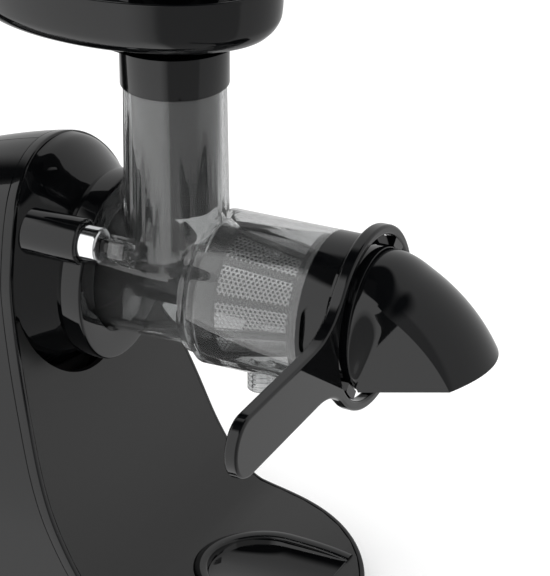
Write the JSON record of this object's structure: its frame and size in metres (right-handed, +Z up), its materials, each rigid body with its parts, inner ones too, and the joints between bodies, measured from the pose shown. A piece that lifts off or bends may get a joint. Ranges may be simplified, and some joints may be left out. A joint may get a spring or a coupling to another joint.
{
  "type": "cold press juicer",
  "caption": "Horizontal slow juicer with a motor body on a broad foot, a clear drum with chute, tray and pusher, an end cap with a locking lever, and a pulp hood.",
  "frame": {"origin": "middle of the face that the foot rests on, straight below the auger axis; Z = 0 is the table", "axes": "+X along the auger axis towards the pulp hood, +Y to the side away from the lever, +Z up"},
  "size_m": [0.3776, 0.2335, 0.378],
  "materials": {
    "left_cover": "high gloss",
    "right_cover": "high gloss",
    "rear_panel": "gloss",
    "trim_band": "gloss",
    "front_panel": "satin gloss",
    "nose_housing": "high gloss",
    "socket_ring": "gloss",
    "foot_shell": "gloss",
    "foot_ring": "matte",
    "tray_insert": "high gloss",
    "rear_grille": "matte",
    "cord_gland": "matte",
    "switch_bezel": "satin",
    "power_rocker": "satin",
    "foot_screws": "plated",
    "latch_pod": "gloss",
    "release_button": "polished",
    "latch_pin": "satin",
    "latch_spring": "drawn wire",
    "gear_case": "glass-filled nylon",
    "gear_lid": "glass-filled nylon",
    "case_screws": "plated",
    "gear_pins": "ground",
    "output_shaft": "ground",
    "output_gear": "sintered",
    "output_bearings": "polished",
    "shaft_seal": "matte",
    "second_gear": "machined",
    "first_gear": "acetal",
    "motor_rotor": "varnished copper",
    "motor_shaft": "ground",
    "cooling_fan": "satin",
    "motor_stator": "laminated",
    "motor_coils": "enamelled copper",
    "motor_front": "cast",
    "motor_rear": "cast",
    "motor_brushes": "carbon",
    "motor_bearings": "polished",
    "motor_cradle": "satin",
    "circuit_board": "solder mask",
    "board_parts": "mixed parts",
    "drum": "clear smoke tint",
    "drum_gasket": "silicone",
    "screen_frame": "gloss",
    "screen_sheet": "perforated",
    "auger": "satin",
    "auger_bush": "acetal",
    "end_cap": "high gloss",
    "cap_seal": "silicone",
    "lever_ring": "gloss",
    "pulp_hood": "gloss",
    "hopper": "gloss",
    "pusher": "gloss",
    "pusher_cap": "gloss"
  },
  "bodies": {
    "base": {"left_cover": "left_cover", "right_cover": "right_cover", "rear_panel": "rear_panel", "trim_band": "trim_band", "front_panel": "front_panel", "nose_housing": "nose_housing", "socket_ring": "socket_ring", "foot_shell": "foot_shell", "foot_ring": "foot_ring", "tray_insert": "tray_insert", "rear_grille": "rear_grille", "cord_gland": "cord_gland", "switch_bezel": "switch_bezel", "foot_screws": "foot_screws", "latch_pod": "latch_pod", "latch_spring": "latch_spring", "gear_case": "gear_case", "gear_lid": "gear_lid", "case_screws": "case_screws", "gear_pins": "gear_pins", "output_bearings": "output_bearings", "shaft_seal": "shaft_seal", "motor_stator": "motor_stator", "motor_coils": "motor_coils", "motor_front": "motor_front", "motor_rear": "motor_rear", "motor_brushes": "motor_brushes", "motor_bearings": "motor_bearings", "motor_cradle": "motor_cradle", "circuit_board": "circuit_board", "board_parts": "board_parts", "drum": "drum", "drum_gasket": "drum_gasket", "screen_frame": "screen_frame", "screen_sheet": "screen_sheet"},
    "auger_drive": {"output_shaft": "output_shaft", "output_gear": "output_gear", "auger": "auger"},
    "second_wheel": {"second_gear": "second_gear"},
    "first_wheel": {"first_gear": "first_gear"},
    "rotor": {"motor_rotor": "motor_rotor", "motor_shaft": "motor_shaft", "cooling_fan": "cooling_fan"},
    "cap_and_lever": {"end_cap": "end_cap", "cap_seal": "cap_seal", "lever_ring": "lever_ring", "auger_bush": "auger_bush"},
    "hood": {"pulp_hood": "pulp_hood"},
    "tray": {"hopper": "hopper"},
    "plunger": {"pusher": "pusher", "pusher_cap": "pusher_cap"},
    "release": {"release_button": "release_button", "latch_pin": "latch_pin"},
    "rocker": {"power_rocker": "power_rocker"}
  },
  "joints": [
    {"name": "auger_spin", "type": "hinge", "parent": "base", "child": "auger_drive", "pos_m": [0, 0, 0.175], "axis": [1, 0, 0], "continuous": true},
    {"name": "second_gear_spin", "type": "hinge", "parent": "base", "child": "second_wheel", "pos_m": [-0.033, -0.02, 0.13739], "axis": [1, 0, 0], "continuous": true},
    {"name": "first_gear_spin", "type": "hinge", "parent": "base", "child": "first_wheel", "pos_m": [-0.044, 0.01517, 0.12927], "axis": [1, 0, 0], "continuous": true},
    {"name": "rotor_spin", "type": "hinge", "parent": "base", "child": "rotor", "pos_m": [-0.09, -0.00013, 0.1057], "axis": [1, 0, 0], "continuous": true},
    {"name": "lever_turn", "type": "hinge", "parent": "base", "child": "cap_and_lever", "pos_m": [0.1545, 0, 0.175], "axis": [-1, 0, 0], "range_deg": [0, 40]},
    {"name": "hood_pull", "type": "slide", "parent": "base", "child": "hood", "axis": [1, 0, 0], "range_m": [0, 0.04]},
    {"name": "tray_lift", "type": "slide", "parent": "base", "child": "tray", "axis": [0, 0, 1], "range_m": [0, 0.04]},
    {"name": "pusher_lift", "type": "slide", "parent": "tray", "child": "plunger", "axis": [0, 0, 1], "range_m": [0, 0.12]},
    {"name": "release_press", "type": "slide", "parent": "base", "child": "release", "axis": [-1, 0, 0], "range_m": [0, 0.0045], "stiffness_N_per_m": 900, "springref_m": -0.003, "deforming": ["latch_spring"]},
    {"name": "switch_rock", "type": "hinge", "parent": "base", "child": "rocker", "pos_m": [-0.1435, 0, 0.072], "axis": [0, 1, 0], "range_deg": [-7, 7]}
  ],
  "couplings": [
    {"joint": "second_gear_spin", "follows": "auger_spin", "ratio": -4.6667},
    {"joint": "first_gear_spin", "follows": "auger_spin", "ratio": 23.333},
    {"joint": "rotor_spin", "follows": "auger_spin", "ratio": -140}
  ]
}
